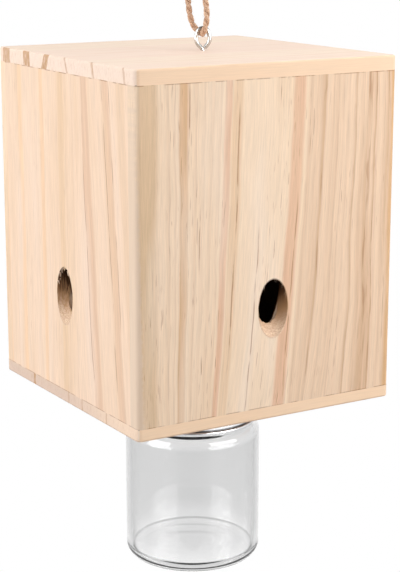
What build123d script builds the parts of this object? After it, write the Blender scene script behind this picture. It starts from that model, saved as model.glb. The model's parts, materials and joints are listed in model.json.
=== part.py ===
"""Hanging trap: a pine box with a slanted entry hole in each wall, a screw eye and a twine
loop above it, and a glass jar that screws into a metal lid fixed under its floor.

Millimetres, +Z up. The origin is the hang point, inside the top of the twine loop, and the
box and the jar share the Z axis below it. The front wall faces -Y.
"""
from build123d import *
import math
import os

# Pine box
box_width = 140.0
box_depth = 140.0
box_height = 166.4
top_thickness = 7.0
bottom_thickness = 5.8
wall_thickness = 7.0
corner_radius = 1.2
bottom_corner_radius = 1.4
top_edge_radius = 0.9
bottom_edge_radius = 0.8
hang_drop = 35.0
rounding_share = 0.9

# Entry holes, drilled upwards into the chamber; offsets to the right, seen from outside
entry_diameter = 15.9
entry_angle = 54.0
entry_mouth_height = 52.9
front_entry_offset = 1.7
side_entry_offset = -1.3

# Brads that pin the glued joints
brad_length = 18.0
brad_width = 1.25
brad_thickness = 1.0
brad_head_width = 1.9
brad_head_height = 0.8
brad_point = 1.2
brad_point_flat = 0.35
brad_clearance = 0.05
brad_spread = 45.0
brad_end_margin = 14.0
corner_brad_rows = 3

# Screw eye
eye_wire = 2.0
eye_ring_radius = 3.5
eye_neck_height = 0.7
eye_neck_drop = 2.9
eye_neck_radius = 1.5
eye_end_gap = 0.15
eye_shank_length = 9.0
eye_point_length = 2.5
eye_point_radius = 0.15
eye_offset = 5.2
eye_turn = -31.3
pilot_clearance = 0.05

# Twine loop: route from the knot, down behind the ring, through it and up in front,
# in a frame turned with the screw eye, heights above the box
twine_diameter = 2.9
twine_route = [
    (-1.45, 0.7, hang_drop + 1.2),
    (-2.2, 0.9, 31.3),
    (-2.1, 1.3, 25.2),
    (-1.4, 2.1, 18.8),
    (-0.5, 3.1, 14.2),
    (1.1, 4.2, 10.5),
    (4.7, 3.5, 7.6),
    (5.15, -2.7, 8.0),
    (6.4, -2.85, 11.2),
    (7.2, -2.4, 15.4),
    (6.95, -1.9, 20.0),
    (6.2, -1.4, 25.4),
    (4.2, -1.0, 31.2),
    (1.45, -0.7, hang_drop + 0.8),
]
bend_share = 0.45

# Knot that closes the twine loop
knot_diameter = 8.6
knot_height = 7.6
knot_rounding = 2.9
tail_route = [(1.3, 0.5, 5.0), (1.7, 0.6, 9.5), (3.4, 1.6, 13.0)]

# Metal lid under the floor, and the screws that hold it
lid_diameter = 65.0
lid_depth = 17.9
lid_sheet = 0.6
lid_shoulder = 1.6
lid_curl = 1.5
lid_curl_inset = 0.1
throat_diameter = 32.0
screw_count = 4
screw_diameter = 2.9
screw_length = 5.0
screw_head_diameter = 5.4
screw_head_height = 1.9
screw_head_rounding = 1.2
screw_tip_rounding = 0.7
screw_clearance = 0.05

# Seal ring between the jar's rim and the lid
seal_thickness = 1.5
seal_width = 4.6

# Glass jar
jar_shoulder_width = 3.9
jar_drop = 90.3
jar_wall = 2.6
jar_floor = 5.7
jar_heel_radius = 6.5
jar_floor_radius = 1.2
jar_shoulder_gap = 1.1
jar_shoulder_radius = 3.2
neck_clearance = 0.9
rim_width = 3.0
rim_rounding = 0.9
neck_flare = 0.8
inner_shoulder_radius = 3.4
punt_rise = 1.6
stand_width = 3.0
punt_rounding = 1.0

# Heights
box_top = -hang_drop
wall_top = box_top - top_thickness
underside = box_top - box_height
wall_bottom = underside + bottom_thickness
wall_height = wall_top - wall_bottom
inner_depth = box_depth - 2 * wall_thickness
lid_edge = underside - lid_depth
jar_base = underside - jar_drop
jar_rim = underside - lid_sheet - seal_thickness

# Radii that the lid, seal, screws and jar share
lid_bore = lid_diameter / 2 - lid_curl - lid_curl_inset
lid_corner = lid_shoulder - lid_sheet
seal_outer = lid_bore - lid_corner
seal_inner = seal_outer - seal_width
screw_radius = (throat_diameter / 2 + seal_inner) / 2


def slab(width, depth, low, high):
    """Block centred on the Z axis between two heights."""
    return Pos(0, 0, (low + high) / 2) * Box(width, depth, high - low)


def rounded_profile(corners):
    """Face in the XZ plane through (radius, height, rounding) corners."""
    face = make_face(Polyline(*[(r, z) for r, z, _ in corners], close=True))
    for r, z, rounding in corners:
        if rounding:
            corner = face.vertices().sort_by_distance((r, z))[0]
            face = fillet(corner, rounding)
    return Plane.XZ * face


def turned(corners):
    """Solid of revolution about the Z axis."""
    return revolve(rounded_profile(corners), Axis.Z)


def limited(rounding, room):
    """Rounding that the wall beside it leaves room for."""
    return min(rounding, rounding_share * room)


def upright_edges(solid):
    """Edges of a board that run along Z."""
    return solid.edges().filter_by(Axis.Z)


def bent_path(points):
    """Straight runs joined by arcs as large as the runs allow, with the arcs' radii."""
    points = [Vector(*point) for point in points]
    runs = [b - a for a, b in zip(points, points[1:])]
    radii = []
    for before, after in zip(runs, runs[1:]):
        half_turn = math.radians(before.get_angle(after)) / 2
        shorter = min(before.length, after.length)
        radii.append(bend_share * shorter / math.tan(half_turn))
    return FilletPolyline(*points, radius=radii), radii


def cord_tube(points, diameter):
    """Round cord along a bent path, with its length and its arcs' radii."""
    path, radii = bent_path(points)
    section = Plane(path @ 0, z_dir=path % 0) * Circle(diameter / 2)
    return sweep(section, path), path.length, radii


# Brads, each with its head at the origin and its point down
def brad_blank(clearance):
    """Brad grown by a clearance, so that it also serves as the hole's tool."""
    grow = 2 * clearance
    length = brad_length + clearance
    shank = Pos(0, 0, -length / 2) * Box(brad_width + grow, brad_thickness + grow, length)
    foot = shank.faces().sort_by(Axis.Z)[0]
    flats = foot.edges().filter_by(Axis.X)
    shank = chamfer(flats, brad_point, brad_point_flat)
    head_height = brad_head_height + clearance
    head = Pos(0, 0, -head_height / 2) * Box(brad_head_width + grow, brad_width + grow, head_height)
    return shank + head


half_width = box_width / 2 - wall_thickness / 2
half_depth = box_depth / 2 - wall_thickness / 2
along_x = [(x, y, 0) for x in (-brad_spread, brad_spread) for y in (-half_depth, half_depth)]
along_y = [(x, y, 90) for x in (-half_width, half_width) for y in (-brad_spread, brad_spread)]
edge_places = along_x + along_y
row_pitch = (wall_height - 2 * brad_end_margin) / (corner_brad_rows - 1)
row_heights = [wall_bottom + brad_end_margin + row * row_pitch for row in range(corner_brad_rows)]
corner_places = [(x, z) for x in (-half_width, half_width) for z in row_heights]
upright = Rot(0, 0, 90)

brad_sets = {
    "top_brads": [Pos(x, y, box_top) * Rot(0, 0, turn) for x, y, turn in edge_places],
    "bottom_brads": [Pos(x, y, underside) * Rot(180, 0, turn) for x, y, turn in edge_places],
    "front_brads": [Pos(x, -box_depth / 2, z) * Rot(90, 0, 0) * upright for x, z in corner_places],
    "back_brads": [Pos(x, box_depth / 2, z) * Rot(-90, 0, 0) * upright for x, z in corner_places],
}
brad = brad_blank(0)
brad_hole = brad_blank(brad_clearance)
brad_holes = [place * brad_hole for places in brad_sets.values() for place in places]


def entry_drill(face_distance, offset):
    """Slanted drill for a wall whose outer face looks along -Y, this far from the Z axis."""
    reach = 2 * (entry_diameter + wall_thickness) / math.cos(math.radians(entry_angle))
    drill = Rot(entry_angle - 90, 0, 0) * Cylinder(entry_diameter / 2, 2 * reach)
    return Pos(offset, -face_distance, underside + entry_mouth_height) * drill


# Holes for the screw eye and the lid's screws, and the throat
eye_place = Rot(0, 0, eye_turn) * Pos(eye_offset, 0, box_top)
pilot_hole = eye_place * Cylinder(eye_wire / 2 + pilot_clearance, 3 * top_thickness)
screw_turns = [360 * k / screw_count for k in range(screw_count)]
screw_places = [Rot(0, 0, turn) * Pos(screw_radius, 0, underside - lid_sheet) for turn in screw_turns]
screw_hole = Cylinder(screw_diameter / 2 + screw_clearance, 2 * screw_length)
screw_holes = [place * screw_hole for place in screw_places]
throat = Pos(0, 0, underside) * Cylinder(throat_diameter / 2, 2 * (bottom_thickness + lid_depth))


def top_board():
    """Roof with rounded corners and upper edges."""
    board = slab(box_width, box_depth, wall_top, box_top)
    board = fillet(upright_edges(board), corner_radius)
    upper = board.faces().sort_by(Axis.Z)[-1].edges()
    board = fillet(upper, limited(top_edge_radius, corner_radius))
    return board - (brad_holes + [pilot_hole])


def bottom_board():
    """Floor with rounded corners and lower edges, and the throat into the jar."""
    board = slab(box_width, box_depth, underside, wall_bottom)
    board = fillet(upright_edges(board), bottom_corner_radius)
    lower = board.faces().sort_by(Axis.Z)[0].edges()
    board = fillet(lower, limited(bottom_edge_radius, bottom_corner_radius))
    return board - (brad_holes + screw_holes + [throat])


def front_board():
    """Front wall, as wide as the box, with its outer corners rounded."""
    board = Pos(0, -half_depth, 0) * slab(box_width, wall_thickness, wall_bottom, wall_top)
    board = fillet(upright_edges(board).sort_by(Axis.Y)[:2], corner_radius)
    return board - (brad_holes + [entry_drill(box_depth / 2, front_entry_offset)])


def right_board():
    """Right wall, set between the front and the back."""
    board = Pos(half_width, 0, 0) * slab(wall_thickness, inner_depth, wall_bottom, wall_top)
    drill = Rot(0, 0, 90) * entry_drill(box_width / 2, side_entry_offset)
    return board - (brad_holes + [drill])


def screw_eye():
    """One wire: pointed shank, neck, ring, and a free end cut to lie along the other leg."""
    neck = (0, eye_neck_height)
    centre_rise = eye_ring_radius + eye_neck_drop
    lean = math.asin(eye_ring_radius / centre_rise)
    tangent = math.sqrt(centre_rise**2 - eye_ring_radius**2)
    left = (-tangent * math.sin(lean), eye_neck_height + tangent * math.cos(lean))
    right = (-left[0], left[1])
    crown = (0, eye_neck_height + centre_rise + eye_ring_radius)
    shank_foot = (0, -eye_shank_length + eye_point_length)
    stem = FilletPolyline(shank_foot, neck, left, radius=eye_neck_radius)
    path = Plane.XZ * Wire(stem.edges() + [ThreePointArc(left, crown, right)])
    wire = sweep(Plane(path @ 0, z_dir=path % 0) * Circle(eye_wire / 2), path)
    free_leg = Rot(0, math.degrees(lean), 0) * Pos(0, 0, tangent / 2) * Cylinder(eye_wire / 2, tangent)
    reach = 2 * centre_rise
    beside = eye_wire / 2 + eye_end_gap - reach / 2
    other_leg = Rot(0, -math.degrees(lean), 0) * Pos(beside, 0, 0) * Box(reach, reach, reach)
    free_leg = Pos(0, 0, eye_neck_height) * (free_leg - other_leg)
    point_height = shank_foot[1] - eye_point_length / 2
    point = Pos(0, 0, point_height) * Cone(eye_point_radius, eye_wire / 2, eye_point_length)
    return eye_place * (wire + free_leg + point)


def hanging_twine():
    """Twine from the knot, through the ring and back, with a report of its bends."""
    tube, length, radii = cord_tube(twine_route, twine_diameter)
    plain_volume = length * math.pi * twine_diameter**2 / 4
    print("twine length", round(length, 2))
    print("twine volume over section times length", round(tube.volume / plain_volume, 4))
    print("twine radii", [round(radius, 2) for radius in radii])
    return Rot(0, 0, eye_turn) * Pos(0, 0, box_top) * tube


def twine_knot():
    """Round knot over the two strands, with two cut tails."""
    half = knot_diameter / 2
    side = [(half, 0, knot_rounding), (half, knot_height, knot_rounding)]
    body = turned([(0, 0, 0), *side, (0, knot_height, 0)])
    tail, _, _ = cord_tube(tail_route, twine_diameter)
    knot = body + tail + Rot(0, 0, 180) * tail
    return Rot(0, 0, eye_turn) * knot


def jar_lid():
    """Deep pressed lid with a curled lower edge and the throat through its roof."""
    skirt = lid_bore + lid_sheet
    curl_centre = lid_edge + lid_curl / 2
    sheet = [
        (0, underside, 0),
        (skirt, underside, lid_shoulder),
        (skirt, curl_centre, 0),
        (lid_bore, curl_centre, 0),
        (lid_bore, underside - lid_sheet, lid_corner),
        (0, underside - lid_sheet, 0),
    ]
    curl = Plane.XZ * Pos(lid_diameter / 2 - lid_curl / 2, curl_centre) * Circle(lid_curl / 2)
    lid = revolve(rounded_profile(sheet) + curl, Axis.Z)
    return lid - (screw_holes + [throat])


def lid_screws():
    """Pan-head screws through the lid's roof into the floor."""
    half_shank = screw_diameter / 2
    half_head = screw_head_diameter / 2
    screw = turned(
        [
            (0, screw_length, 0),
            (half_shank, screw_length, screw_tip_rounding),
            (half_shank, 0, 0),
            (half_head, 0, 0),
            (half_head, -screw_head_height, screw_head_rounding),
            (0, -screw_head_height, 0),
        ]
    )
    return Compound([place * screw for place in screw_places])


def jar_seal():
    """Flat rubber ring on the flat of the lid's roof."""
    roof = underside - lid_sheet
    upper = [(seal_inner, roof, 0), (seal_outer, roof, 0)]
    lower = [(seal_outer, jar_rim, 0), (seal_inner, jar_rim, 0)]
    return turned(upper + lower)


def jar():
    """Straight glass jar with a short neck, a square shoulder and a pushed-up base."""
    neck = lid_bore - neck_clearance
    mouth = neck - rim_width
    outer = neck + jar_shoulder_width
    inner = outer - jar_wall
    shoulder = lid_edge - jar_shoulder_gap
    stand = outer - jar_heel_radius - stand_width
    lip = limited(rim_rounding, rim_width / 2)
    flare = limited(neck_flare, (inner - mouth) / 2)
    hollow = limited(inner_shoulder_radius, inner - mouth - flare)
    return turned(
        [
            (0, jar_base + punt_rise, 0),
            (stand, jar_base + punt_rise, limited(punt_rounding, punt_rise)),
            (stand, jar_base, 0),
            (outer, jar_base, jar_heel_radius),
            (outer, shoulder, limited(jar_shoulder_radius, jar_shoulder_width)),
            (neck, shoulder, 0),
            (neck, jar_rim, lip),
            (mouth, jar_rim, lip),
            (mouth, shoulder - jar_wall, flare),
            (inner, shoulder - jar_wall, hollow),
            (inner, jar_base + jar_floor, jar_floor_radius),
            (0, jar_base + jar_floor, 0),
        ]
    )


pieces = {
    "top_board": top_board(),
    "bottom_board": bottom_board(),
    "front_board": front_board(),
    "back_board": Rot(0, 0, 180) * front_board(),
    "left_board": Rot(0, 0, 180) * right_board(),
    "right_board": right_board(),
    "screw_eye": screw_eye(),
    "hanging_twine": hanging_twine(),
    "twine_knot": twine_knot(),
    "jar_lid": jar_lid(),
    "lid_screws": lid_screws(),
    "jar_seal": jar_seal(),
    "jar": jar(),
}
for name, places in brad_sets.items():
    pieces[name] = Compound([place * brad for place in places])

os.makedirs("parts", exist_ok=True)
for name, solid in pieces.items():
    export_step(solid, f"parts/{name}.step")
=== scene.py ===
"""Looks of a hanging trap: a pine box on a twine loop, and a glass jar in a metal lid under it.

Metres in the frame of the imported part: +Z up, the hang point at the origin and the front wall
towards -Y. Workshop sizes are written in millimetres and multiplied by MM, and the finishes
work in millimetres throughout.
"""

import json
import logging
import math
import random
from abc import ABC, abstractmethod
from dataclasses import dataclass, field, replace
from enum import Enum
from typing import Callable, Iterable, Optional, Sequence, Union

import bmesh
import bpy
from mathutils import Matrix, Vector, noise
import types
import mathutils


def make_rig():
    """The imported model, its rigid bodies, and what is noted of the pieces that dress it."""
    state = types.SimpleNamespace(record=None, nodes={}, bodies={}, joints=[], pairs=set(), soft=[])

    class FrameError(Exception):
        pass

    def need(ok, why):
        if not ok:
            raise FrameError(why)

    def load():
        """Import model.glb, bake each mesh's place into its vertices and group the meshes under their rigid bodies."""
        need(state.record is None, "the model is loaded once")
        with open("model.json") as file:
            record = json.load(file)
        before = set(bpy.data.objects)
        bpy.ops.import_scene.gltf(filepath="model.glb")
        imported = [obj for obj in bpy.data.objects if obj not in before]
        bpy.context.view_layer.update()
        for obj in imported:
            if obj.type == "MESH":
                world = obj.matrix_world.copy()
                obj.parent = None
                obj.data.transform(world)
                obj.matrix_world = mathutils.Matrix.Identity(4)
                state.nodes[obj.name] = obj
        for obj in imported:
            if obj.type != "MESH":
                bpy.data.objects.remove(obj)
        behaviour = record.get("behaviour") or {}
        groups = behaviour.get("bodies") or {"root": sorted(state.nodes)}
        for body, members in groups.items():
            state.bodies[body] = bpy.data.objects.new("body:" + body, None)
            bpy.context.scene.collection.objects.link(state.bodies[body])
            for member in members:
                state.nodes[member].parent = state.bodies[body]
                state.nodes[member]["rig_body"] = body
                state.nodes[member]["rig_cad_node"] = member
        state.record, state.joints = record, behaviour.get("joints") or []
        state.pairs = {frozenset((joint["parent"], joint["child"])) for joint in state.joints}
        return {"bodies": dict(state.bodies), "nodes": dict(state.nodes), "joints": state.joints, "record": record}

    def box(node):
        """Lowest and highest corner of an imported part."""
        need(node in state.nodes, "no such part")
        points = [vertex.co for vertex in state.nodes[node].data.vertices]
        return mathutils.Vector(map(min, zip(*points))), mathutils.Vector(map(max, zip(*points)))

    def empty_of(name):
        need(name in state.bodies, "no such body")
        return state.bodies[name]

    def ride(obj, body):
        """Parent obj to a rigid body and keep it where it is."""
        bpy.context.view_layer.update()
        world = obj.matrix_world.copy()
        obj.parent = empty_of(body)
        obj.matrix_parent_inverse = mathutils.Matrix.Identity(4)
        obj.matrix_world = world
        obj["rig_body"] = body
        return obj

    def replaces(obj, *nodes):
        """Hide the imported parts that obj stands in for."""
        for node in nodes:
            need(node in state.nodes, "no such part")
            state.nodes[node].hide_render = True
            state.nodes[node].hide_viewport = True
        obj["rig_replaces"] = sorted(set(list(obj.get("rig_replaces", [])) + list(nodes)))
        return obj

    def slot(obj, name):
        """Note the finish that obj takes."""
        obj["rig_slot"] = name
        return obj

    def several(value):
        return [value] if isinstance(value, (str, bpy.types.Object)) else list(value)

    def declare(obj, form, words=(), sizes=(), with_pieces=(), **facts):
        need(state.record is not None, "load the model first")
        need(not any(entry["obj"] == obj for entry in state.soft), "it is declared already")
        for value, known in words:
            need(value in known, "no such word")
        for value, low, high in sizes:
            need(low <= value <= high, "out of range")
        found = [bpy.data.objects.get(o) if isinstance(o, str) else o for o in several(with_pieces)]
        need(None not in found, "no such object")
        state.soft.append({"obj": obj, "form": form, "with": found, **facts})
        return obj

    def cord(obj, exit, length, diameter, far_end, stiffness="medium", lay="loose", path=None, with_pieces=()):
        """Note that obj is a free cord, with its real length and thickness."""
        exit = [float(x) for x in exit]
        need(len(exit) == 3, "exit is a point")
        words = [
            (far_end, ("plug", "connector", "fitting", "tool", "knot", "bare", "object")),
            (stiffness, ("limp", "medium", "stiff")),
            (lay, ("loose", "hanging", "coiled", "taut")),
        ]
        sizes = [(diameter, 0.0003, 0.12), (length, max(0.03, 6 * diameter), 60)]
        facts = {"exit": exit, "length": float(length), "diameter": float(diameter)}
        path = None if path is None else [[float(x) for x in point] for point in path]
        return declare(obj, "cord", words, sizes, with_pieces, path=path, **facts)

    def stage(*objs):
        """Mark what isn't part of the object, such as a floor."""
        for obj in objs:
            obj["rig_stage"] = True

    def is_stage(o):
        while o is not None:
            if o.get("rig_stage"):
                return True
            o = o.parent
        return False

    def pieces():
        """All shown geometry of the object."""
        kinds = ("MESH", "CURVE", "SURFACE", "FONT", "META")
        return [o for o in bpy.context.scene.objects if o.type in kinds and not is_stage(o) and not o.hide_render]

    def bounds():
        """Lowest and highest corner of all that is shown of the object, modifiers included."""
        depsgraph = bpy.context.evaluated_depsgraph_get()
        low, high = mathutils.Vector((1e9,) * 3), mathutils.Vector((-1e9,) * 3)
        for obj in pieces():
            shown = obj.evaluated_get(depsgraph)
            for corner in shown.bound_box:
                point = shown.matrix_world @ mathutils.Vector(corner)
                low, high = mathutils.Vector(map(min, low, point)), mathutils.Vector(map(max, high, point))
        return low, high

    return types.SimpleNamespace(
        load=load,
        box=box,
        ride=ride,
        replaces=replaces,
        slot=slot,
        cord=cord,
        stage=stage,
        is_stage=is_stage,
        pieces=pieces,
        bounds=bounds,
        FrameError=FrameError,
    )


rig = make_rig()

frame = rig.load()
CAD_LOW, CAD_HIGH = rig.bounds()

MM = 0.001
TURN = 2 * math.pi
SEAM = 1e-7
WELD = 1e-6
LONG_SIDE = 5.0
CORNER_STEPS = 10
STOP_GAP = 0.0005
STREAK_EDGES = (-0.5, -0.32, 0.3, 0.5)
BOARD_CREASE = 30.0
EYE_TURN = -31.3
# Sockets of a mix node when it mixes colours.
MIX_SHARE, MIX_FIRST, MIX_SECOND, MIX_RESULT = 0, 6, 7, 2
LOG = logging.getLogger("trap")

Colour = tuple[float, float, float, float]
Pair = tuple[float, float]
Triple = tuple[float, float, float]
Feed = Union[float, Sequence[float], "Wire", "Tone"]
Mesh = bmesh.types.BMesh
Material = bpy.types.Material
WHITE: Colour = (1.0, 1.0, 1.0, 1.0)


def node_box(node: str) -> tuple[Vector, Vector]:
    """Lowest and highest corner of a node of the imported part, in millimetres."""
    low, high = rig.box(node)
    return low / MM, high / MM


FRONT_LOW, FRONT_HIGH = node_box("front_board")
ROOF_LOW, ROOF_HIGH = node_box("top_board")
BASE_LOW, BASE_HIGH = node_box("bottom_board")
LID_LOW, LID_HIGH = node_box("jar_lid")
JAR_LOW, JAR_HIGH = node_box("jar")


def paint(red: int, green: int, blue: int) -> Colour:
    """Linear colour of a display colour with channels from 0 to 255."""
    def linear(channel: int) -> float:
        share = channel / 255
        return share / 12.92 if share <= 0.04045 else ((share + 0.055) / 1.055) ** 2.4
    return (linear(red), linear(green), linear(blue), 1.0)


def math_step(operation: str, swapped: bool = False) -> Callable[..., "Wire"]:
    """Method of a wire that adds a math node.

    Args:
        operation: what the node works out.
        swapped: whether the wire comes last.

    Returns:
        The method, which takes the other values.
    """
    def step(wire: "Wire", *others: Feed) -> "Wire":
        values = (*others, wire) if swapped else (wire, *others)
        return wire.graph.node("Math", dict(enumerate(values)), operation=operation)
    return step


class Wire:
    """An output of a finish's node tree that takes part in Python expressions."""

    def __init__(self, graph: "Graph", socket: bpy.types.NodeSocket) -> None:
        """Keeps the tree and the socket."""
        self.graph = graph
        self.socket = socket

    __add__ = __radd__ = math_step("ADD")
    __sub__ = math_step("SUBTRACT")
    __rsub__ = math_step("SUBTRACT", swapped=True)
    __mul__ = __rmul__ = math_step("MULTIPLY")
    __truediv__ = math_step("DIVIDE")
    __pow__ = math_step("POWER")
    __abs__ = math_step("ABSOLUTE")
    floor = math_step("FLOOR")
    fraction = math_step("FRACT")
    larger = math_step("MAXIMUM")

    def rise(self, low: float, high: float) -> "Wire":
        """Smooth step from 0 at low to 1 at high."""
        limits = {"Value": self, "From Min": low, "From Max": high}
        return self.graph.node("MapRange", limits, interpolation_type="SMOOTHSTEP")

    def between(self, low: float, high: float, soft: float) -> "Wire":
        """1 from low to high, with soft ends."""
        return self.rise(low - soft, low + soft) * (1 - self.rise(high - soft, high + soft))


class Graph:
    """Node tree of one finish or of the world."""

    def __init__(self, owner: Union[Material, bpy.types.World]) -> None:
        """Empties the node tree of its owner."""
        owner.use_nodes = True
        self.owner = owner
        self.tree = owner.node_tree
        self.tree.nodes.clear()

    @classmethod
    def finish(cls, name: str) -> "Graph":
        """Tree of a new material."""
        return cls(bpy.data.materials.new(name))

    def node(
        self, kind: str, inputs: Optional[dict] = None, output: Union[int, str] = 0, **settings: object,
    ) -> Wire:
        """Adds a node.

        Args:
            kind: node type without its ShaderNode prefix.
            inputs: values, tones or wires by socket name or number.
            output: socket that is handed back.
            settings: properties of the node, and a ramp's stops.

        Returns:
            The chosen output.
        """
        made = self.tree.nodes.new("ShaderNode" + kind)
        for name, value in settings.items():
            if name == "stops":
                self._set_stops(made.color_ramp, value)
            else:
                setattr(made, name, value)
        for key, value in (inputs or {}).items():
            if isinstance(value, Wire):
                self.tree.links.new(value.socket, made.inputs[key])
            else:
                made.inputs[key].default_value = value.linear if isinstance(value, Tone) else value
        return Wire(self, made.outputs[output] if len(made.outputs) else None)

    @staticmethod
    def _set_stops(ramp: bpy.types.ColorRamp, stops: Sequence[tuple[float, Colour]]) -> None:
        """Gives a ramp its stops, in order."""
        while len(ramp.elements) < len(stops):
            ramp.elements.new(1.0)
        for element, (place, colour) in zip(ramp.elements, stops):
            element.position = place
            element.color = colour

    def parts(self, vector: Wire) -> list[Wire]:
        """X, Y and Z of a vector."""
        return [self.node("SeparateXYZ", {0: vector}, axis.value) for axis in Axis]

    def millimetres(self) -> list[Wire]:
        """Place on the piece along X, Y and Z."""
        place = self.node("TexCoord", output="Object")
        return self.parts(self.node("VectorMath", {0: place, "Scale": 1 / MM}, operation="SCALE"))

    def noise(self, *place: Feed, detail: float = 2.0, rough: float = 0.5) -> Wire:
        """Noise from 0 to 1 at a place that is already scaled."""
        vector = self.node("CombineXYZ", dict(enumerate(place)))
        return self.node("TexNoise", {"Vector": vector, "Scale": 1.0, "Detail": detail, "Roughness": rough})

    def chance(self, count: Wire) -> Wire:
        """Random number from 0 to 1 that belongs to a count."""
        return self.node("TexWhiteNoise", {"W": count}, noise_dimensions="1D")

    def mix(self, share: Feed, first: Feed, second: Feed, blend: str = "MIX") -> Wire:
        """Colour between two others."""
        inputs = {MIX_SHARE: share, MIX_FIRST: first, MIX_SECOND: second}
        return self.node("Mix", inputs, MIX_RESULT, data_type="RGBA", blend_type=blend)

    def bump(self, height: Wire, strength: float, reach: float) -> Wire:
        """Normal that follows a height from 0 to 1, reach in metres."""
        return self.node("Bump", {"Strength": strength, "Distance": reach, "Height": height})

    def surface(self, inputs: dict, volume: Optional[Wire] = None) -> Material:
        """Ends the tree in a principled surface.

        Args:
            inputs: values or wires of the shader's sockets.
            volume: what fills the piece, if anything.

        Returns:
            The finished material.
        """
        ends = {"Surface": self.node("BsdfPrincipled", inputs)}
        if volume is not None:
            ends["Volume"] = volume
        self.node("OutputMaterial", ends)
        return self.owner

    def blend(self, share: Wire, first: Wire, second: Wire, end: str = "OutputMaterial") -> None:
        """Ends the tree in a blend of two shaders."""
        self.node(end, {"Surface": self.node("MixShader", {0: share, 1: first, 2: second})})

    def seen(self) -> Wire:
        """1 for rays that the camera, a mirror or glass sends out."""
        names = ("Camera", "Glossy", "Transmission")
        camera, glossy, transmission = [self.node("LightPath", output=f"Is {name} Ray") for name in names]
        return camera.larger(glossy).larger(transmission)


class Axis(Enum):
    """Direction in the part's frame."""

    X = 0
    Y = 1
    Z = 2


class Tone(Enum):
    """Display colours of bare pine, and of the painted shade in its bores and on the chamber side."""

    PALE = (252, 231, 211)
    BLUSH = (252, 228, 211)
    PEACH = (249, 220, 195)
    CREAM = (249, 222, 194)
    APRICOT = (251, 215, 179)
    OAT = (241, 210, 181)
    STRAW = (239, 206, 172)
    ASH = (231, 206, 184)
    DUSK = (222, 195, 177)
    TAN = (223, 191, 155)
    BISQUE = (236, 200, 172)
    ROSE = (234, 191, 159)
    HONEY = (228, 187, 141)
    FAWN = (220, 182, 152)
    RESIN = (219, 174, 128)
    UMBER = (201, 155, 113)
    BARK = (160, 98, 54)
    PAINTED_SHADE = (104, 70, 46)
    KNOT = (62, 40, 27)

    @property
    def linear(self) -> Colour:
        """Linear colour of the tone."""
        return paint(*self.value)


@dataclass(frozen=True)
class EntryHole:
    """Hole drilled upwards through a wall, in millimetres; offset to the right, seen from outside."""

    offset: float
    mouth: float = BASE_LOW.z + 52.9
    radius: float = 7.95
    angle: float = 54.0

    @property
    def slope(self) -> float:
        """Rise of the hole for each millimetre of depth."""
        return math.tan(math.radians(self.angle))

    @property
    def half_height(self) -> float:
        """Half the height of the mouth."""
        return self.radius / math.cos(math.radians(self.angle))


@dataclass(frozen=True)
class Streak:
    """Band of darker wood along the grain: place across the board and width, in millimetres."""

    place: float
    width: float
    tone: Tone


@dataclass(frozen=True)
class Hairline:
    """Thin dark line along the grain: place across the board, width and end heights, in millimetres."""

    place: float
    width: float
    top: float
    bottom: float


@dataclass(frozen=True)
class RingZone:
    """Stretch across a board that shows its year rings as fine lines, in millimetres."""

    start: float
    end: float
    pitch: float
    strength: float


@dataclass(frozen=True)
class EndBar:
    """Latewood that shows as a dark bar on a board's end, in millimetres across it, and its slant."""

    place: float
    width: float
    slant: float
    strength: float


@dataclass(frozen=True)
class Pine(ABC):
    """Bare sanded pine with its grain along one axis."""

    name: str
    seed: float

    @abstractmethod
    def figure(self, graph: Graph) -> tuple[Wire, Wire]:
        """Colour of the wood, and how much latewood shows."""

    def build(self) -> Material:
        """Material with the figure, a satin surface and a trace of raised grain."""
        graph = Graph.finish(self.name)
        colour, grain = self.figure(graph)
        gloss = graph.noise(*[part * 0.12 for part in graph.millimetres()])
        return graph.surface({
            "Base Color": colour,
            "Roughness": 0.56 + gloss * 0.12 - grain * 0.06,
            "Specular IOR Level": 0.12,
            "Normal": graph.bump(grain, 0.12, 0.2 * MM),
        })


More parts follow.
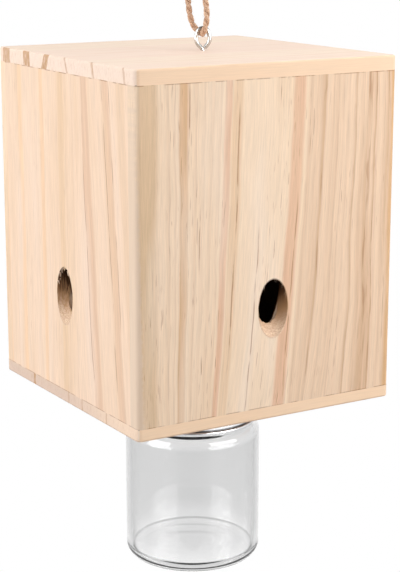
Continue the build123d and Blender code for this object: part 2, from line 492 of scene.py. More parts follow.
@dataclass(frozen=True)
class WallPine(Pine):
    """Wall board: upright grain with streaks, ring lines, resin dashes and a drilled bore, with painted shade in the
    bore, on the chamber side and along the joints.

    Lengths are in millimetres. Across runs along a wall from left to right as seen from outside.
    """

    across: Axis
    across_sign: int
    out: Axis
    base: Tone
    pale: Tone
    speckle: float
    streaks: tuple[Streak, ...]
    zones: tuple[RingZone, ...]
    hairlines: tuple[Hairline, ...]
    hole: EntryHole
    lean: float = 0.0
    splay: float = 0.0
    bulge: float = 0.0
    bend: float = 0.0
    worn: float = 0.0
    fuzz: float = 0.3
    drilled: bool = True
    half_width: float = FRONT_HIGH.x
    thickness: float = FRONT_HIGH.y - FRONT_LOW.y
    top: float = FRONT_HIGH.z
    bottom: float = FRONT_LOW.z

    def stops(self) -> list[tuple[float, Colour]]:
        """Ramp across the board: the base tone, with each streak rising out of it."""
        base = self.base.linear
        found = [(0.0, base)]
        for streak in self.streaks:
            tone = streak.tone.linear
            for offset, colour in zip(STREAK_EDGES, (base, tone, tone, base)):
                place = (streak.place + offset * streak.width + self.half_width) / (2 * self.half_width)
                found.append((min(max(place, found[-1][0] + STOP_GAP), 1.0), colour))
        return found

    def across_grain(self, graph: Graph, across: Wire, height: Wire, out: Wire) -> Wire:
        """Place across the grain, where each year ring keeps its value all the way down."""
        rise = height - (self.top + self.bottom) / 2
        shift = rise * self.lean
        if self.splay:
            shift = shift + rise * across.rise(5, 30) * self.splay
        if self.bulge:
            inner = across.rise(-58, -8) * (1 - across.rise(20, 72))
            shift = shift + inner * (rise * self.bulge - rise * rise * self.bend)
        broad = graph.noise(across * 0.02, height * 0.011, self.seed, detail=1.0) - 0.5
        wave = graph.noise(across * 0.07, height * 0.03, self.seed + 7, detail=1.0) - 0.5
        fine = graph.noise(across * 0.3, height * 0.1, self.seed + 8, detail=1.0) - 0.5
        return across - shift + broad * 3.0 + wave * 1.8 + fine * 0.5 + out * 0.6

    def figure(self, graph: Graph) -> tuple[Wire, Wire]:
        """Colour of the wall, and how much latewood shows."""
        place = graph.millimetres()
        across = place[self.across.value] * self.across_sign
        height = place[Axis.Z.value]
        out = abs(place[self.out.value]) - self.half_width
        grain = self.across_grain(graph, across, height, out)
        share = (grain + self.half_width) / (2 * self.half_width)
        colour = graph.node("ValToRGB", {0: share}, stops=self.stops())
        drift = graph.noise(grain * 0.07, height * 0.006, self.seed + 3)
        colour = graph.mix(drift.rise(0.5, 0.7) * 0.55, colour, self.pale)
        colour = graph.mix((1 - drift.rise(0.32, 0.48)) * 0.45, colour, Tone.STRAW)
        colour, latewood = self.rings(graph, colour, grain, height)
        fibre = graph.noise(grain * 1.6, height * 0.05, out, detail=5.0, rough=0.68)
        colour = graph.mix(1.0, colour, 0.75 + fibre * 0.5, "MULTIPLY")
        colour = self.dashes(graph, colour, grain, height)
        colour = self.dark_lines(graph, colour, grain, height)
        colour = self.worn_edge(graph, colour, across, height)
        if self.drilled:
            colour = self.bore(graph, colour, across, height, out)
        colour = self.painted_chamber_shade(graph, colour, across, out)
        colour = self.painted_joint_shadow(graph, colour, across, height)
        return colour, latewood * 0.6 + fibre * 0.4

    def rings(self, graph: Graph, colour: Wire, grain: Wire, height: Wire) -> tuple[Wire, Wire]:
        """Year rings of the zones, uneven in pitch and depth, each with a sharp darker edge.

        Returns:
            The colour with the rings, and the rings by themselves.
        """
        latewood = graph.noise(grain * 0.9, height * 0.012, self.seed) * 0.3
        for count, zone in enumerate(self.zones):
            uneven = graph.noise(grain * 0.12, self.seed + count, 0.5, detail=1.0) * 2.4
            ring = grain / zone.pitch + uneven
            chance = graph.chance(ring.floor() + self.seed)
            share = ring.fraction()
            inside = grain.between(zone.start, zone.end, 1.5)
            # Darker base tone in the ring zone: partly the ringed wood's own tone, partly painted shade that evens out
            # where a lamp lights the wall more.
            colour = graph.mix(inside * zone.strength, colour, Tone.OAT)
            fade = graph.noise(grain * 0.25, height * 0.008, self.seed + 11 + count).rise(0.25, 0.55)
            shade = share.rise(0.4, 0.92) * (1 - share.rise(0.95, 1.0))
            shade = shade * fade * inside * (0.3 + chance * 0.7)
            colour = graph.mix(shade * zone.strength * 0.9, colour, Tone.UMBER)
            broken = graph.noise(grain * 0.5, height * 0.05, self.seed + 17 + count, detail=3.0)
            edge = share.between(0.88, 0.97, 0.04) * broken.rise(0.45, 0.62) * inside * (0.2 + chance)
            colour = graph.mix(edge * zone.strength * 0.7, colour, Tone.BARK)
            latewood = latewood + shade
        return colour, latewood

    def dashes(self, graph: Graph, colour: Wire, grain: Wire, height: Wire) -> Wire:
        """Short dark resin canals, in patches."""
        canal = graph.noise(grain * 1.9, height * 0.085, self.seed + 5, detail=1.0).rise(0.66, 0.74)
        patch = graph.noise(grain * 0.06, height * 0.012, self.seed + 9).rise(0.42, 0.6)
        return graph.mix(canal * patch * self.speckle, colour, Tone.BARK)

    def dark_lines(self, graph: Graph, colour: Wire, grain: Wire, height: Wire) -> Wire:
        """Thin broken lines along the grain."""
        broken = graph.noise(grain * 0.3, height * 0.06, self.seed + 13, detail=3.0).rise(0.36, 0.56)
        for line in self.hairlines:
            half = line.width / 2
            mark = grain.between(line.place - half, line.place + half, 0.2)
            mark = mark * height.between(line.bottom, line.top, 6.0)
            colour = graph.mix(mark * broken * 0.6, colour, Tone.BARK)
        return colour

    def worn_edge(self, graph: Graph, colour: Wire, across: Wire, height: Wire) -> Wire:
        """Fuzzy sanded band along the left edge that widens towards the bottom."""
        if not self.worn:
            return colour
        reach = (self.top - height) * (self.worn / (self.top - self.bottom))
        fuzz = graph.noise(height * 0.5, self.seed, across * 0.4, detail=3.0) * 2.4 - 1.2
        band = (reach + fuzz - across - self.half_width).rise(-0.7, 0.7)
        return graph.mix(band * 0.7, colour, Tone.ASH)

    def bore(self, graph: Graph, colour: Wire, across: Wire, height: Wire, out: Wire) -> Wire:
        """Drilled wall of the entry hole: rough across the fibres, with painted shade that darkens it the further in.
        """
        angle = math.radians(self.hole.angle)
        across = across - self.hole.offset
        above = height - self.hole.mouth
        reach = above * math.sin(angle) - out * math.cos(angle)
        distance = across * across + above * above + out * out - reach * reach
        inside = 1 - distance.rise(self.hole.radius**2, (self.hole.radius + 0.7) ** 2)
        mottle = graph.noise(across * 0.9, reach * 2.2, self.seed, detail=3.0)
        wall = graph.mix(mottle.rise(0.35, 0.7), Tone.FAWN, Tone.CREAM)
        fibre = graph.noise(across * 1.4, out * 1.4, height * 0.12, detail=4.0)
        depth = reach / self.hole.radius + (mottle - 0.5) * 0.3 + (fibre - 0.5) * self.fuzz
        # Painted shade: the bore darkens in steps with depth into the hole.
        for start, end, tone in ((-1.1, 0.3, Tone.UMBER), (0.2, 1.2, Tone.PAINTED_SHADE), (1.0, 1.7, Tone.KNOT)):
            wall = graph.mix(depth.rise(start, end), wall, tone)
        return graph.mix(inside, colour, wall)

    def painted_chamber_shade(self, graph: Graph, colour: Wire, across: Wire, out: Wire) -> Wire:
        """Painted shade on the face towards the chamber, short of the ends that lap the next wall."""
        lap = self.half_width - self.thickness
        inside = (0 - out).rise(self.thickness - 0.6, self.thickness - 0.2)
        return graph.mix(inside * (1 - abs(across).rise(lap - 0.4, lap)), colour, Tone.PAINTED_SHADE)

    def painted_joint_shadow(self, graph: Graph, colour: Wire, across: Wire, height: Wire) -> Wire:
        """Thin broken shadow where the wall meets the roof and the floor."""
        broken = graph.noise(across * 0.16, self.seed, height * 0.05, detail=3.0).rise(0.4, 0.58)
        line = height.rise(self.top - 0.55, self.top - 0.2)
        line = line.larger(1 - height.rise(self.bottom + 0.2, self.bottom + 0.5))
        return graph.mix(line * broken * 0.6, colour, Tone.BARK)


@dataclass(frozen=True)
class StavePine(Pine):
    """Roof or floor board of narrow staves glued edge to edge, with its grain along X.

    Lengths are in millimetres. The ends towards X show the latewood as dark bars, and the faces towards the chamber
    get painted shade.
    """

    low: float
    high: float
    end_tone: Tone
    front_tone: Tone
    bars: tuple[EndBar, ...]
    painted_edge_shadow: float = 0.0
    stave: float = 28.0
    pitch: float = 7.0
    half_length: float = ROOF_HIGH.x

    def figure(self, graph: Graph) -> tuple[Wire, Wire]:
        """Colour of the board, and how much latewood shows."""
        along, across, height = graph.millimetres()
        wander = graph.noise(along * 0.012, across * 0.03, self.seed, detail=1.0) - 0.5
        place = across / self.stave + 0.37 * self.seed
        chance = graph.chance(place.floor() + self.seed)
        share = (across / self.pitch + wander * 1.5 + chance * 3.0).fraction()
        line = share.rise(0.1, 0.9) * (1 - share.rise(0.93, 1.0))
        fade = graph.noise(along * 0.02, across * 0.2, self.seed + 2).rise(0.4, 0.62)
        colour = graph.mix(chance, Tone.PALE, Tone.BLUSH)
        colour = graph.mix(line * fade * 0.2, colour, Tone.ROSE)
        edge = self.half_length - 0.8, self.half_length - 0.3
        colour = graph.mix(abs(across).rise(*edge) * 0.8, colour, Tone.APRICOT)
        end = abs(along).rise(*edge)
        end_colour = graph.mix(across.rise(-65, 15), self.front_tone, self.end_tone)
        colour = graph.mix(end * 0.8, colour, end_colour)
        fibre = graph.noise(along * 0.05, across * 1.4, height * 1.4, detail=5.0, rough=0.66)
        colour = graph.mix(1.0, colour, 0.88 + fibre * 0.23, "MULTIPLY")
        colour = self.end_bars(graph, colour, end, across, height)
        # Painted shade on the faces of the roof and the floor that look into the chamber.
        inner = height.between(ROOF_LOW.z - 0.2, ROOF_LOW.z + 0.2, 0.1).larger(
            height.between(BASE_HIGH.z - 0.2, BASE_HIGH.z + 0.2, 0.1)
        ) * (1 - abs(across).rise(*edge)) * (1 - end)
        return graph.mix(inner, colour, Tone.PAINTED_SHADE), line * 0.5 * fade + fibre * 0.5

    def end_bars(self, graph: Graph, colour: Wire, end: Wire, across: Wire, height: Wire) -> Wire:
        """Dark bars and fine streaks on the ends, and a painted shadow along the lower edge."""
        middle = (self.low + self.high) / 2
        streaky = graph.noise(across * 1.6, height * 0.25, self.seed + 4, detail=4.0)
        colour = graph.mix(end * streaky.rise(0.5, 0.75) * 0.35, colour, Tone.UMBER)
        for bar in self.bars:
            place = across - bar.place - (height - middle) * bar.slant + (streaky - 0.5) * 1.2
            mark = place.between(-bar.width / 2, bar.width / 2, 0.35) * streaky.rise(0.2, 0.55)
            colour = graph.mix(mark * end * bar.strength, colour, Tone.UMBER)
        # Painted shadow along the board's lower edge and underside.
        if self.painted_edge_shadow:
            worn = (1 - height.rise(self.low + 0.4, self.low + 1.0)) * streaky.rise(0.3, 0.5)
            colour = graph.mix(worn * self.painted_edge_shadow, colour, Tone.BARK)
        return colour


@dataclass(frozen=True)
class Jute:
    """Twisted jute: matt tan fibres that follow the twist of their ply."""

    name: str = "jute"
    light: Colour = paint(236, 204, 177)
    dark: Colour = paint(166, 121, 91)

    def build(self) -> Material:
        """Material on the fibre attribute: round the ply in X and Y, along it in Z."""
        graph = Graph.finish(self.name)
        x, y, z = graph.parts(graph.node("Attribute", output="Vector", attribute_name="fibre"))
        broad = graph.noise(x * 1.3, y * 1.3, z * 0.25, detail=2.0)
        fine = graph.noise(x * 4.5, y * 4.5, z * 0.5, detail=3.0, rough=0.6)
        share = (broad * 0.5 + fine * 0.6).rise(0.3, 0.78)
        return graph.surface({
            "Base Color": graph.mix(share, self.dark, self.light),
            "Roughness": 0.9 - fine * 0.15,
            "Specular IOR Level": 0.2,
            "Sheen Weight": 0.15,
            "Normal": graph.bump(fine, 0.55, 0.12 * MM),
        })


class Worked(Enum):
    """How a metal surface was worked."""

    DRAWN = "drawn"
    TURNED = "turned"


@dataclass(frozen=True)
class Metal:
    """Bare or plated metal with fine lines from its making."""

    name: str
    colour: Colour
    roughness: float
    worked: Worked
    painted_crease_colour: Colour = paint(26, 26, 27)

    def bare(self, radius: Wire, height: Wire) -> Feed:
        """1 where the metal is bare, from the distance to the Z axis and the height in millimetres."""
        return 1.0

    def painted_crease_shade(self, height: Wire) -> Feed:
        """1 where painted shade darkens the metal, from the height in millimetres."""
        return 0.0

    def build(self) -> Material:
        """Material whose roughness and tone vary along the working lines."""
        graph = Graph.finish(self.name)
        x, y, z = graph.millimetres()
        radius = (x * x + y * y) ** 0.5
        if self.worked is Worked.TURNED:
            lines = graph.noise(radius * 5.0, z * 7.0, 0.5, detail=3.0)
        else:
            lines = graph.noise(x * 2.4, y * 2.4, z * 2.4, detail=4.0)
        cloud = graph.noise(x * 0.35, y * 0.35, z * 0.35)
        dull = tuple(channel * 0.8 for channel in self.colour[:3]) + (1.0,)
        colour = graph.mix(cloud.rise(0.4, 0.7) * 0.5, self.colour, dull)
        return graph.surface({
            # Painted shade from the crease mask is mixed into the base colour.
            "Base Color": graph.mix(self.painted_crease_shade(z), colour, self.painted_crease_colour),
            "Metallic": self.bare(radius, z),
            "Roughness": self.roughness + lines * 0.12 + cloud * 0.06,
            "Normal": graph.bump(lines, 0.06, 0.05 * MM),
        })


@dataclass(frozen=True)
class Tinplate(Metal):
    """Tinplate lid with a white lacquer inside and a painted shadow line over its hem, in millimetres."""

    lacquer_radius: float = 31.2
    roof: float = LID_HIGH.z
    edge: float = LID_LOW.z
    hem: float = 1.5

    def bare(self, radius: Wire, height: Wire) -> Feed:
        """1 outside the skirt and on top of the roof; the lacquer also covers the turned-under edge."""
        skirt = radius.rise(self.lacquer_radius - 0.1, self.lacquer_radius + 0.1)
        skirt = skirt * height.rise(self.edge + 0.2, self.edge + 0.4)
        return skirt.larger(height.rise(self.roof - 0.4, self.roof - 0.2))

    def painted_crease_shade(self, height: Wire) -> Feed:
        """1 in the crease over the hem, where the sheet turns out: a painted shadow and dark reflection of the crease.
        """
        return height.between(self.edge + self.hem - 0.1, self.edge + self.hem + 0.7, 0.3) * 0.85


@dataclass(frozen=True)
class Glass:
    """Clear soda glass: its blown wall is a little grey, and its base and shoulder are left clearer, as painted light
    that brightens them.

    Lengths are in millimetres. A painted shade line, standing in for the dark refraction at the floor's edge, runs
    round the floor along the wall.
    """

    name: str = "jar_glass"
    tint: Colour = (0.82, 0.82, 0.821, 1.0)
    clear: Colour = (0.97, 0.97, 0.971, 1.0)
    painted_ring_shade: Colour = (0.5, 0.5, 0.5, 1.0)
    base: float = JAR_LOW.z + 4.0
    base_blend: float = 14.0
    shoulder: float = JAR_HIGH.z - 20.5
    shoulder_blend: float = 4.0
    floor: float = JAR_LOW.z + 5.7
    painted_ring_radius: float = 31.0
    painted_ring_height: float = 0.7
    grey: Colour = (0.1, 0.1, 0.1, 1.0)
    density: float = 6.0

    def build(self) -> Material:
        """Material with a faint ripple of the mould in its surface."""
        graph = Graph.finish(self.name)
        x, y, z = graph.millimetres()
        ripple = graph.noise(x * 0.05, y * 0.05, z * 0.02, detail=1.0)
        smear = graph.noise(x * 0.08, y * 0.08, z * 0.05, detail=3.0)
        volume = graph.node("VolumeAbsorption", {"Color": self.grey, "Density": self.density})
        # Painted light: the tint fades out at the base and the shoulder, so they read brighter.
        wall = z.rise(self.base, self.base + self.base_blend)
        wall = wall * (1 - z.rise(self.shoulder - self.shoulder_blend, self.shoulder))
        radius = (x * x + y * y) ** 0.5
        # Painted shade: a dark line round the edge of the floor.
        line = radius.between(self.painted_ring_radius - 1.0, self.painted_ring_radius + 1.0, 0.3)
        line = line * z.between(self.floor - 0.1, self.floor + self.painted_ring_height, 0.2)
        return graph.surface({
            "Base Color": graph.mix(line, graph.mix(wall, self.clear, self.tint), self.painted_ring_shade),
            "Transmission Weight": 1.0,
            "IOR": 1.47,
            "Roughness": smear.rise(0.55, 0.8) * 0.03,
            "Normal": graph.bump(ripple, 0.05, 0.4 * MM),
        }, volume)


@dataclass(frozen=True)
class Matt:
    """Dull material with a mottled tone, such as filler or rubber."""

    name: str
    light: Colour
    dark: Colour
    roughness: float
    grain: float

    def build(self) -> Material:
        """Material with a fine mottle and a slight unevenness."""
        graph = Graph.finish(self.name)
        mottle = graph.noise(*[part * self.grain for part in graph.millimetres()], detail=3.0)
        return graph.surface({
            "Base Color": graph.mix(mottle, self.dark, self.light),
            "Roughness": self.roughness + mottle * 0.1,
            "Normal": graph.bump(mottle, 0.1, 0.05 * MM),
        })


def outer_shell(bm: Mesh) -> Mesh:
    """Closes seams and turns every face outwards."""
    bmesh.ops.remove_doubles(bm, verts=bm.verts, dist=SEAM)
    bmesh.ops.recalc_face_normals(bm, faces=bm.faces)
    return bm


def stored(name: str, bm: Mesh) -> bpy.types.Mesh:
    """Mesh data of a finished mesh, which is freed."""
    mesh = bpy.data.meshes.new(name)
    bm.to_mesh(mesh)
    bm.free()
    return mesh


def linked(name: str, data: bpy.types.ID) -> bpy.types.Object:
    """New object in the scene."""
    made = bpy.data.objects.new(name, data)
    bpy.context.scene.collection.objects.link(made)
    return made


def add_to(group: Mesh, bm: Mesh) -> Mesh:
    """The group with a mesh added to it, which is freed."""
    mesh = stored("added", bm)
    group.from_mesh(mesh)
    bpy.data.meshes.remove(mesh)
    return group


def add_spike(bm: Mesh, root: Vector, tip: Vector, radii: Pair, sides: int) -> None:
    """Adds a thin cone from its root to its tip, with a radius in metres at each."""
    way = tip - root
    bmesh.ops.create_cone(
        bm, cap_ends=True, segments=sides, radius1=radii[0], radius2=radii[1], depth=way.length,
        matrix=Matrix.Translation((root + tip) / 2) @ way.to_track_quat("Z", "Y").to_matrix().to_4x4(),
    )


def around(side: Vector, top: Vector, angle: float) -> Vector:
    """Direction at an angle from the side towards the top."""
    return side * math.cos(angle) + top * math.sin(angle)


def rag_at(teeth: float, angle: float, layer: float) -> float:
    """Ragged height from -1 to 1 round a rim, with finer teeth the larger their number."""
    return noise.noise((teeth * math.cos(angle), teeth * math.sin(angle), layer))


def place_piece(
    name: str, bm: Mesh, body: str, material: Material, slot: str,
    stands_for: Iterable[str] = (), crease: float = 40.0,
) -> bpy.types.Object:
    """Makes an object of a finished mesh.

    Args:
        name: name of the piece.
        bm: its mesh, in the part's frame; it is freed.
        body: body that it rides on.
        material: its finish.
        slot: material slot of the record.
        stands_for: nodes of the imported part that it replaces.
        crease: angle in degrees past which an edge stays sharp.

    Returns:
        The new object.
    """
    mesh = stored(name, bm)
    stale = mesh.attributes.get("custom_normal")
    if stale:
        mesh.attributes.remove(stale)
    mesh.polygons.foreach_set("use_smooth", [True] * len(mesh.polygons))
    mesh.set_sharp_from_angle(angle=math.radians(crease))
    mesh.materials.append(material)
    made = linked(name, mesh)
    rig.ride(made, body)
    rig.slot(made, slot)
    if stands_for:
        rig.replaces(made, *stands_for)
    LOG.info("piece %s: %d faces on body %s", name, len(mesh.polygons), body)
    return made


def dress_node(node: str, material: Material) -> None:
    """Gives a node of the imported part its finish."""
    mesh = frame["nodes"][node].data
    mesh.materials.clear()
    mesh.materials.append(material)
    LOG.info("node %s: finish %s", node, material.name)


def node_copy(node: str) -> Mesh:
    """Merged copy of a node's mesh."""
    bm = bmesh.new()
    bm.from_mesh(frame["nodes"][node].data)
    bmesh.ops.remove_doubles(bm, verts=bm.verts, dist=WELD)
    return bm


def rolled_grid(
    rows: int, columns: int, place: Callable[[float, float], Vector],
    tag: Optional[Callable[[float, float], Vector]] = None, into: Optional[Mesh] = None,
) -> Mesh:
    """Grid rolled into a closed tube with filled ends.

    Args:
        rows: steps along the tube.
        columns: steps round it.
        place: point for a share along the tube and a share of a turn.
        tag: value of the fibre attribute for the same shares.
        into: mesh that gets the tube, if there is one already.

    Returns:
        The mesh with the tube.
    """
    tube = bmesh.new()
    bmesh.ops.create_grid(tube, x_segments=columns, y_segments=rows, size=0.5)
    fibre = tube.verts.layers.float_vector.new("fibre")
    for vert in tube.verts:
        turn, along = vert.co.x + 0.5, vert.co.y + 0.5
        vert.co = place(along, turn)
        if tag:
            vert[fibre] = tag(along, turn)
    bmesh.ops.remove_doubles(tube, verts=tube.verts, dist=SEAM)
    ends = [edge for edge in tube.edges if edge.is_boundary]
    bmesh.ops.holes_fill(tube, edges=ends, sides=0)
    bmesh.ops.recalc_face_normals(tube, faces=tube.faces)
    return tube if into is None else add_to(into, tube)


def carve(block: Mesh, tool: Mesh) -> Mesh:
    """Takes the tool's volume out of the block.

    Args:
        block: closed mesh that is cut; it is freed.
        tool: closed mesh that cuts; it is freed.

    Returns:
        The block with the cut.
    """
    held = [linked(name, stored(name, bm)) for name, bm in (("block", block), ("tool", tool))]
    cut = held[0].modifiers.new("cut", "BOOLEAN")
    cut.object = held[1]
    cut.operation = "DIFFERENCE"
    cut.solver = "EXACT"
    view = bpy.context.evaluated_depsgraph_get()
    result = bpy.data.meshes.new_from_object(held[0].evaluated_get(view), depsgraph=view)
    done = bmesh.new()
    done.from_mesh(result)
    for mesh in [result] + [item.data for item in held]:
        bpy.data.meshes.remove(mesh)
    return done


def profile_loop(corners: Sequence[Triple], closed: bool) -> Mesh:
    """Section in the XZ plane with rounded corners.

    Args:
        corners: radius, height and rounding of each corner, in millimetres.
        closed: whether the last corner joins the first.

    Returns:
        A mesh of edges, in metres.
    """
    bm = bmesh.new()
    verts = [bm.verts.new((radius * MM, 0, height * MM)) for radius, height, _ in corners]
    for first, second in zip(verts, verts[1:] + verts[:1] if closed else verts[1:]):
        bm.edges.new((first, second))
    for vert, (_, _, rounding) in zip(verts, corners):
        if rounding:
            bmesh.ops.bevel(
                bm, geom=[vert], offset=rounding * MM, offset_type="OFFSET", affect="VERTICES",
                segments=CORNER_STEPS, profile=0.5, material=-1,
            )
    return bm


def spun(bm: Mesh, steps: int, turns: int = 1, rise: float = 0.0) -> Mesh:
    """Turns a section round the Z axis.

    Args:
        bm: the section, which becomes the turned mesh.
        steps: steps of all the turns together.
        turns: number of turns.
        rise: how far it winds up in all, in metres; without a rise the ends are joined.

    Returns:
        The turned mesh, closed.
    """
    bmesh.ops.spin(
        bm, geom=bm.verts[:] + bm.edges[:] + bm.faces[:], cent=(0, 0, 0), axis=(0, 0, 1),
        dvec=(0, 0, rise / steps), angle=TURN * turns, steps=steps, use_merge=not rise, use_duplicate=False,
    )
    if rise:
        bmesh.ops.holes_fill(bm, edges=[edge for edge in bm.edges if edge.is_boundary], sides=0)
    return outer_shell(bm)


def cut_uprights(bm: Mesh, radii: Sequence[float], cuts: int) -> None:
    """Cuts the long upright sides of a section at the given radii, in millimetres, into short ones."""
    upright = [
        side for side in bm.edges if side.calc_length() > LONG_SIDE * MM
        and any(all(abs(vert.co.x - radius * MM) < SEAM for vert in side.verts) for radius in radii)
    ]
    bmesh.ops.subdivide_edges(bm, edges=upright, cuts=cuts)


@dataclass(frozen=True)
class ScrewThread:
    """Right-hand rolled thread round the Z axis, in millimetres."""

    start: float
    pitch: float
    turns: float
    height: float
    half_width: float
    run_out: float = 0.08

    def lift(self, place: Vector) -> float:
        """Height of the thread at a place, in metres."""
        share = (math.atan2(place.y, place.x) / TURN) % 1.0
        best = 0.0
        for lap in range(math.ceil(self.turns)):
            turn = share + lap
            if turn > self.turns:
                continue
            ends = min(1.0, turn / self.run_out, (self.turns - turn) / self.run_out)
            off = (place.z / MM - self.start - self.pitch * turn) / self.half_width
            best = max(best, ends * math.exp(-off * off))
        return best * self.height * MM

    def press(self, bm: Mesh, way: int, chosen: Callable[[float, float], bool]) -> None:
        """Presses the thread into a turned mesh.

        Args:
            bm: mesh that turns round the Z axis.
            way: 1 for outwards or -1 for inwards.
            chosen: whether the point at a radius and height, in millimetres, takes part.
        """
        for vert in bm.verts:
            flat = math.hypot(vert.co.x, vert.co.y)
            if chosen(flat / MM, vert.co.z / MM):
                push = 1 + way * self.lift(vert.co) / flat
                vert.co.x *= push
                vert.co.y *= push


@dataclass(frozen=True)
class Softbox:
    """Soft lamp: where it stands round the object in degrees and metres, its size and its power.

    A glint only shows in shiny surfaces, and every other softbox only lights the matt ones.
    """

    name: str
    azimuth: float
    elevation: float
    reach: float
    width: float
    height: float
    power: float
    glint: bool = False


@dataclass(frozen=True)
class Card:
    """Card with soft sides that only shiny surfaces show, or glass too where it is seen through.

    It is placed round the object in degrees and metres, and its shade runs from 0, black, to 1.
    """

    name: str
    azimuth: float
    elevation: float
    reach: float
    half: float
    shade: float
    seen_through: bool = False


@dataclass
class Studio:
    """White sweep, softboxes, cards and the camera at the photograph's angle."""

    azimuth: float = -31.15
    elevation: float = 13.18
    distance: float = 0.802
    aim: Vector = field(default_factory=lambda: Vector((0.0035, -0.0016, -0.1517)))
    lens: float = 101.25
    floor_height: float = -0.95
    floor_half: float = 6.0
    floor_tone: Colour = (0.8, 0.8, 0.8, 1.0)
    sky: float = 0.48
    clip: Pair = (0.01, 50.0)
    card_fade: Pair = (0.05, 0.5)
    softboxes: tuple[Softbox, ...] = (
        Softbox("left_softbox", -102, 15, 1.0, 0.6, 0.6, 5.2),
        Softbox("right_softbox", 40, 25, 0.7, 0.5, 0.5, 3.0),
        Softbox("top_softbox", -31, 80, 1.2, 0.8, 0.8, 3.55),
        Softbox("left_glint", -89, 8, 1.2, 0.9, 0.8, 16.7, glint=True),
        Softbox("right_glint", 23, 8, 1.2, 1.1, 0.8, 20.4, glint=True),
    )
    cards: tuple[Card, ...] = (
        Card("camera_card", -31, 0, 1.4, 1.1, 0.05),
        Card("left_flag", -162, 0, 1.0, 0.7, 0.8, seen_through=True),
        Card("right_flag", 100, 0, 1.0, 0.7, 0.78, seen_through=True),
        Card("top_card", -31, 75, 1.3, 1.2, 0.03),
    )

    @staticmethod
    def direction(azimuth: float, elevation: float) -> Vector:
        """Unit vector from the object towards a place round it, in degrees."""
        turn, lift = math.radians(azimuth), math.radians(elevation)
        flat = math.cos(lift)
        return Vector((math.sin(turn) * flat, -math.cos(turn) * flat, math.sin(lift)))

    def build(self) -> None:
        """Makes the camera, the lamps, the white surroundings, the floor and the cards."""
        bpy.context.scene.view_settings.view_transform = "Standard"
        camera = bpy.data.cameras.new("camera")
        camera.lens = self.lens
        camera.clip_start, camera.clip_end = self.clip
        bpy.context.scene.camera = self.stand("camera", camera, self.azimuth, self.elevation, self.distance)
        for softbox in self.softboxes:
            self.lamp(softbox)
        self.surroundings()
        self.floor()
        for card in self.cards:
            self.hang(card)

    def stand(
        self, name: str, data: bpy.types.ID, azimuth: float, elevation: float, reach: float,
    ) -> bpy.types.Object:
        """Object that stands round the part and looks at it."""
        made = linked(name, data)
        back = self.direction(azimuth, elevation)
        made.location = self.aim + back * reach
        made.rotation_mode = "QUATERNION"
        made.rotation_quaternion = (-back).to_track_quat("-Z", "Y")
        return made

    def lamp(self, softbox: Softbox) -> None:
        """Soft oblong lamp that looks at the object."""
        data = bpy.data.lights.new(softbox.name, "AREA")
        data.shape = "RECTANGLE"
        data.size, data.size_y = softbox.width, softbox.height
        data.energy = softbox.power
        lamp = self.stand(softbox.name, data, softbox.azimuth, softbox.elevation, softbox.reach)
        lamp.visible_diffuse = not softbox.glint
        lamp.visible_glossy = softbox.glint

    def surroundings(self) -> None:
        """White background over a softer even light."""
        world = bpy.data.worlds.new("white")
        bpy.context.scene.world = world
        graph = Graph(world)
        light = [graph.node("Background", {"Color": WHITE, "Strength": power}) for power in (self.sky, 1.0)]
        graph.blend(graph.seen(), *light, end="OutputWorld")

    def sheet(self, name: str, half: float, place: Matrix, material: Material) -> bpy.types.Object:
        """Flat square of the studio, which is no part of the object."""
        bm = bmesh.new()
        bm.loops.layers.uv.new("sheet")
        bmesh.ops.create_grid(bm, x_segments=1, y_segments=1, size=half, matrix=place, calc_uvs=True)
        made = linked(name, stored(name, bm))
        made.data.materials.append(material)
        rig.stage(made)
        return made

    def floor(self) -> None:
        """Pale floor well below the hanging part, white where it is seen."""
        graph = Graph.finish("pale_floor")
        matt = graph.node("BsdfDiffuse", {"Color": self.floor_tone})
        glow = graph.node("Emission", {"Color": WHITE, "Strength": 1.0})
        graph.blend(graph.seen(), matt, glow)
        self.sheet("floor", self.floor_half, Matrix.Translation((0, 0, self.floor_height)), graph.owner)

    def hang(self, card: Card) -> None:
        """Hangs a card round the object, out of the camera's sight."""
        graph = Graph.finish(card.name)
        across = graph.node("SeparateXYZ", {0: graph.node("TexCoord", output="UV")})
        glow = graph.node("Emission", {"Color": WHITE, "Strength": card.shade})
        graph.blend(abs(across - 0.5).rise(*self.card_fade), glow, graph.node("BsdfTransparent"))
        back = self.direction(card.azimuth, card.elevation)
        place = Matrix.Translation(self.aim + back * card.reach)
        place = place @ back.to_track_quat("Z", "Y").to_matrix().to_4x4()
        sheet = self.sheet(card.name, card.half, place, graph.owner)
        sheet.visible_camera = sheet.visible_diffuse = sheet.visible_shadow = False
        sheet.visible_transmission = card.seen_through


